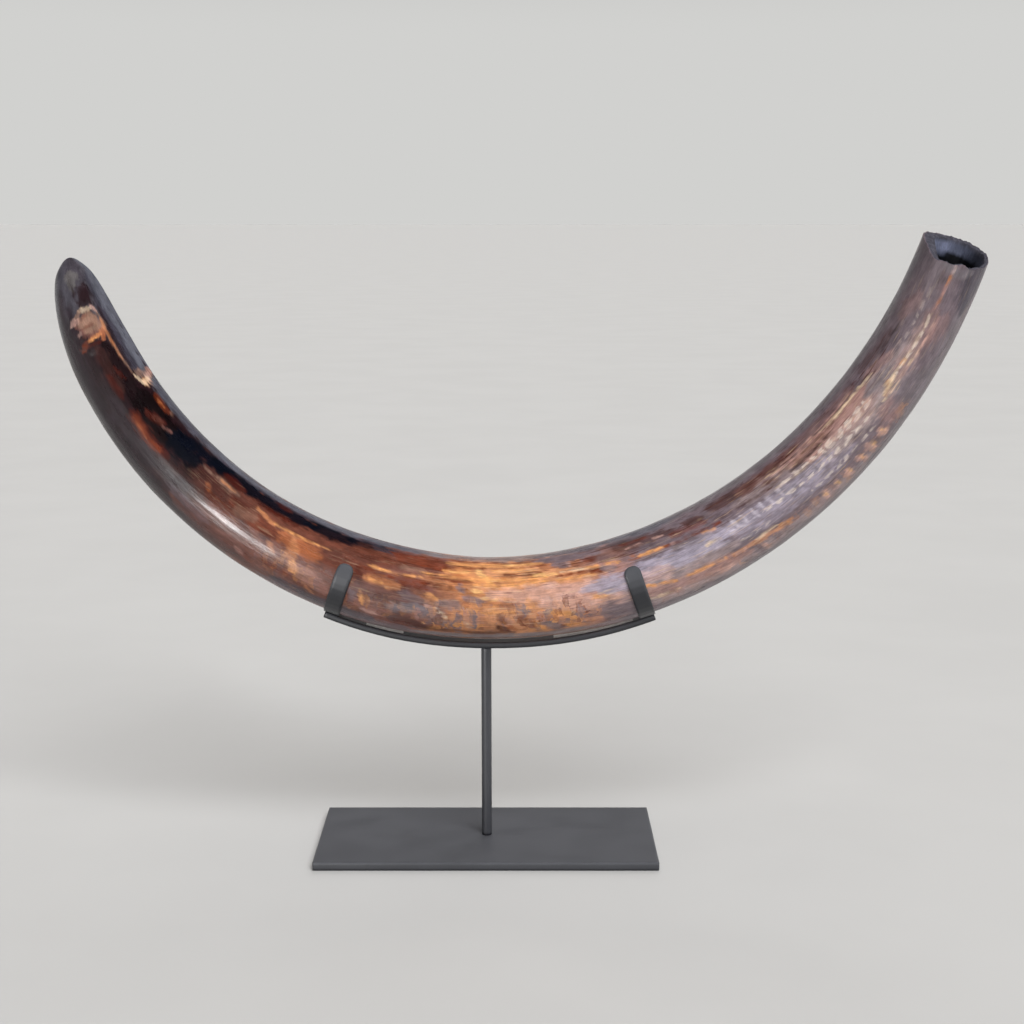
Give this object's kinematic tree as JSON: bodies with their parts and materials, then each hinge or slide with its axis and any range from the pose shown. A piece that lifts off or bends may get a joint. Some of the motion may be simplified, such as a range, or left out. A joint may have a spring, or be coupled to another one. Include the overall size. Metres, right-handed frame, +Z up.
{
  "type": "mammoth tusk",
  "caption": "Polished brown mammoth tusk in one long curve, with a hollow broken root, resting in a steel cradle on a post and flat base plate.",
  "frame": {"origin": "centre of the base plate's underside", "axes": "+Z up, +X along the base plate's long side towards the tusk's root end, -Y the side the tusk is shown from"},
  "size_m": [1.0351, 0.1678, 0.7222],
  "materials": {
    "tusk_ivory": "polished brown and orange mineral-stained mammoth ivory with lengthwise grain, cream streaks and a grey sheen",
    "stand_paint": "steel in satin dark grey paint",
    "pad_felt": "pale grey felt liner"
  },
  "bodies": {
    "root": {"tusk": "tusk_ivory", "base_plate": "stand_paint", "post": "stand_paint", "cradle_rail": "stand_paint", "strap_left": "stand_paint", "strap_right": "stand_paint", "pad_left": "pad_felt", "pad_right": "pad_felt"}
  },
  "joints": []
}
